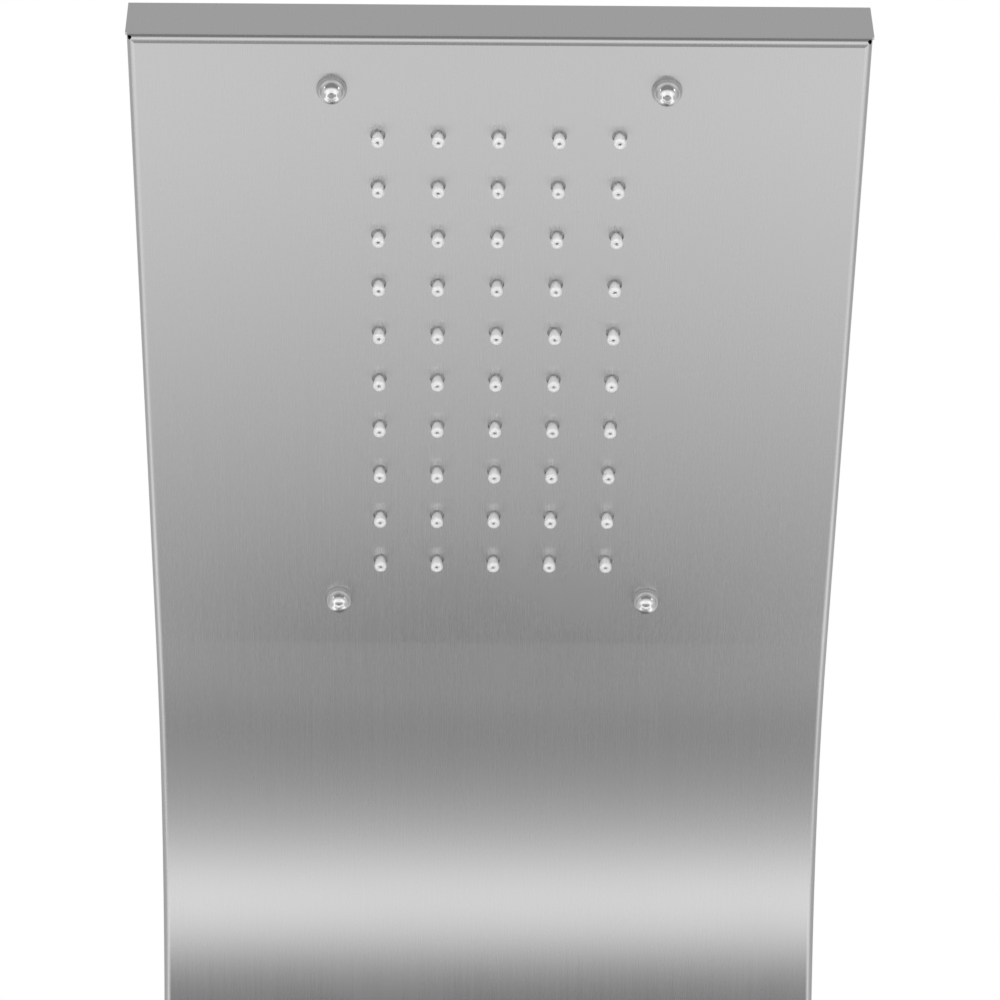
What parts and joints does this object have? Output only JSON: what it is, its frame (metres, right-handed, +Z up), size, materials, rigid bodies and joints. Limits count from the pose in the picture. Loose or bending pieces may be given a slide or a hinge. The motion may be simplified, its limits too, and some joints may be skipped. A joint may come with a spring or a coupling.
{
  "type": "shower panel column",
  "caption": "Wall-hung shower panel column of folded sheet that curves forward into a rain head, with swivelling body jets, a diverter knob, a lever mixer and a hose outlet.",
  "frame": {"origin": "on the wall, midway between the two screws of the upper wall bracket", "axes": "+Z up, +X to the right of someone facing the panel, +Y into the wall; the wall is y = 0"},
  "size_m": [0.2442, 0.5172, 1.3509],
  "materials": {
    "brushed_panel": "fine brushing along the panel",
    "zinc": "plain sheet",
    "tube": "drawn tube",
    "fastener": "bright",
    "chrome": "mirror plating",
    "brass": "cast and machined",
    "rubber": "matt",
    "silicone": "pale grey silicone",
    "plastic": "moulded",
    "white_plastic": "moulded",
    "mark": "two-tone plug"
  },
  "bodies": {
    "panel": {"front_panel": "brushed_panel", "head_cover": "brushed_panel", "cover_screws": "fastener", "nozzle_mat": "silicone", "spray_chamber": "plastic", "chamber_bolts": "fastener", "dome_nuts": "chrome", "rain_pipe": "tube", "pipe_nuts": "brass", "pipe_clips": "white_plastic", "link_pipe": "tube", "jet_manifold": "tube", "jet_nuts": "plastic", "gaskets": "rubber", "ring_nuts": "brass", "mixer_body": "brass", "mixer_cartridge": "white_plastic", "cartridge_nut": "brass", "cartridge_cover": "chrome", "diverter_body": "brass", "diverter_cartridge": "white_plastic", "outlet_elbow": "chrome", "outlet_trim": "chrome", "wall_bracket_upper": "zinc", "wall_bracket_lower": "zinc", "hanging_rail_upper": "zinc", "hanging_rail_lower": "zinc", "mixer_trim": "chrome", "diverter_trim": "chrome", "jet_housing_1": "plastic", "jet_ring_1": "chrome", "jet_housing_2": "plastic", "jet_ring_2": "chrome", "jet_housing_3": "plastic", "jet_ring_3": "chrome"},
    "turret": {"cartridge_turret": "white_plastic", "stem_pin": "fastener"},
    "lever": {"lever_stem": "brass", "mixer_lever": "chrome", "lever_screw": "fastener", "lever_mark": "mark"},
    "diverter": {"diverter_spindle": "brass", "diverter_knob": "chrome", "knob_screw": "fastener"},
    "jet_1": {"jet_ball_1": "chrome", "jet_insert_1": "silicone"},
    "jet_2": {"jet_ball_2": "chrome", "jet_insert_2": "silicone"},
    "jet_3": {"jet_ball_3": "chrome", "jet_insert_3": "silicone"}
  },
  "joints": [
    {"name": "mixer_turn", "type": "hinge", "parent": "panel", "child": "turret", "pos_m": [0, -0.076, -0.64], "axis": [0, 1, 0], "range_deg": [-45, 45]},
    {"name": "lever_lift", "type": "hinge", "parent": "turret", "child": "lever", "pos_m": [0, -0.076, -0.64], "axis": [-1, 0, 0], "range_deg": [0, 25]},
    {"name": "diverter_turn", "type": "hinge", "parent": "panel", "child": "diverter", "pos_m": [0, -0.055, -0.53], "axis": [0, 1, 0], "range_deg": [-60, 60]},
    {"name": "jet_1_tilt", "type": "hinge", "parent": "panel", "child": "jet_1", "pos_m": [0, -0.053, -0.11], "axis": [1, 0, 0], "range_deg": [-15, 15]},
    {"name": "jet_2_tilt", "type": "hinge", "parent": "panel", "child": "jet_2", "pos_m": [0, -0.053, -0.26], "axis": [1, 0, 0], "range_deg": [-15, 15]},
    {"name": "jet_3_tilt", "type": "hinge", "parent": "panel", "child": "jet_3", "pos_m": [0, -0.053, -0.41], "axis": [1, 0, 0], "range_deg": [-15, 15]}
  ]
}
